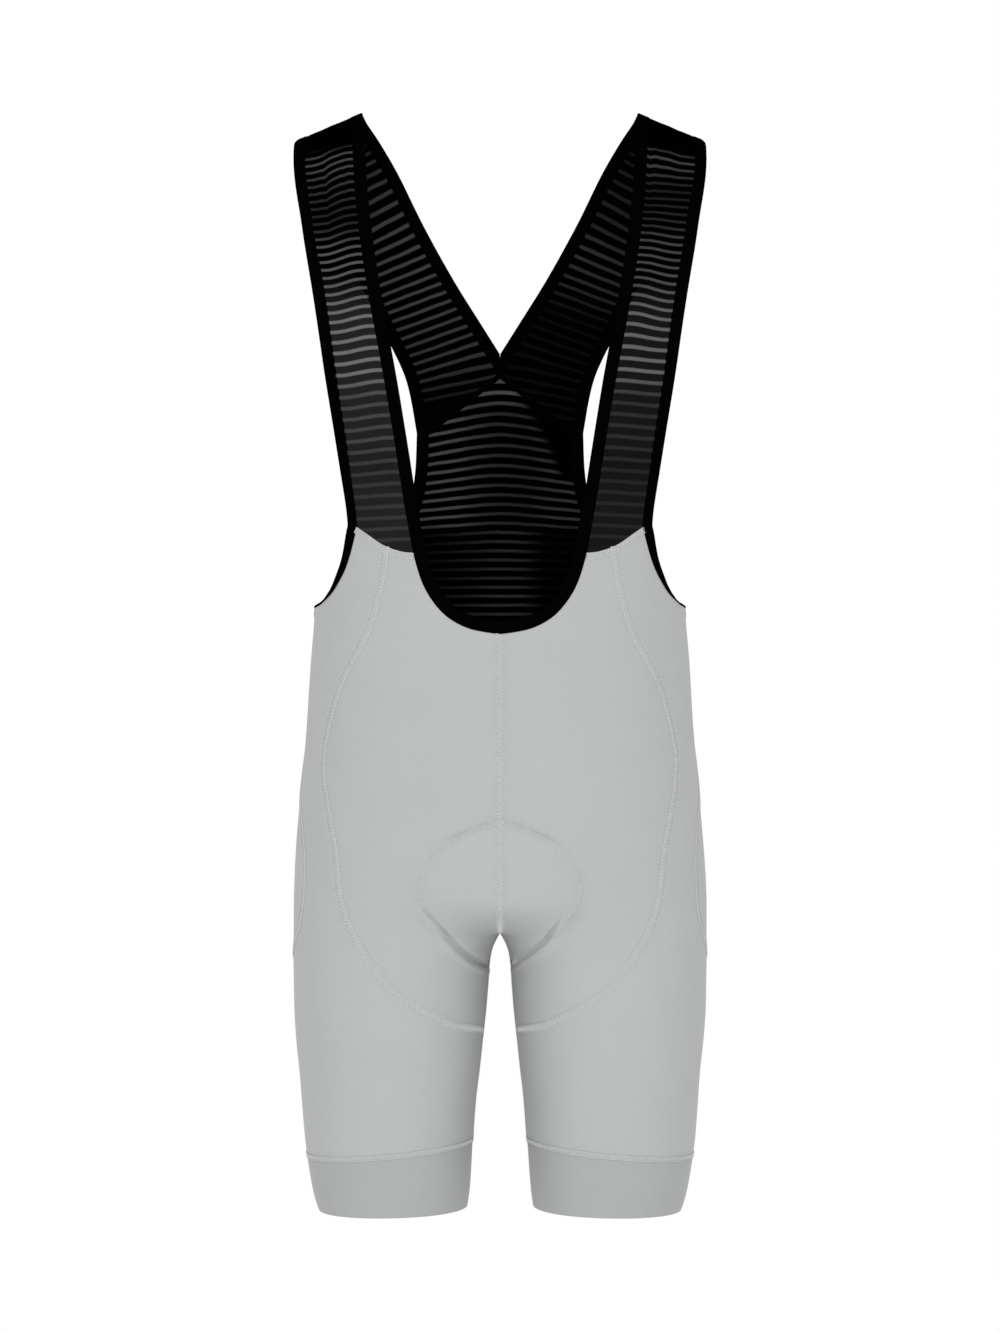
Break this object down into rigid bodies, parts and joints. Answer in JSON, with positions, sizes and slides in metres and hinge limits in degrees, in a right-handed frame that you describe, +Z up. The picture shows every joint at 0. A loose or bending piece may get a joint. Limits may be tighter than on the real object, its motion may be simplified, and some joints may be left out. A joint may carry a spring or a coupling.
{
  "type": "cycling bib shorts",
  "caption": "Cycling bib shorts in worn, hollow form: light grey stretch legs, black striped mesh straps and back, bound edges, seat pad.",
  "frame": {"origin": "midway between the shoulders, where the two straps cross the tops of the shoulders", "axes": "+Z up, -Y the garment's front, +X the garment's left side"},
  "size_m": [0.3552, 0.2349, 0.9405],
  "materials": {
    "front_knit": "smooth, slightly lustrous stretch knit in light grey",
    "side_knit": "smooth, slightly lustrous stretch knit in light grey",
    "seat_knit": "smooth, slightly lustrous stretch knit in light grey",
    "cuff": "denser light grey gripper knit",
    "strap_mesh": "sheer black mesh knit with fine lighter stripes",
    "back_mesh": "black mesh knit with fine lighter stripes",
    "binding": "matt black folded elastic",
    "pad": "brushed dark grey foam pad"
  },
  "bodies": {
    "root": {"front_left": "front_knit", "front_right": "front_knit", "side_left": "side_knit", "side_right": "side_knit", "seat_left": "seat_knit", "seat_right": "seat_knit", "cuff_left": "cuff", "cuff_right": "cuff", "front_strap_left": "strap_mesh", "front_strap_right": "strap_mesh", "back_strap_left": "strap_mesh", "back_strap_right": "strap_mesh", "back_mesh": "back_mesh", "neck_binding": "binding", "arm_binding_left": "binding", "arm_binding_right": "binding", "seat_pad": "pad"}
  },
  "joints": []
}
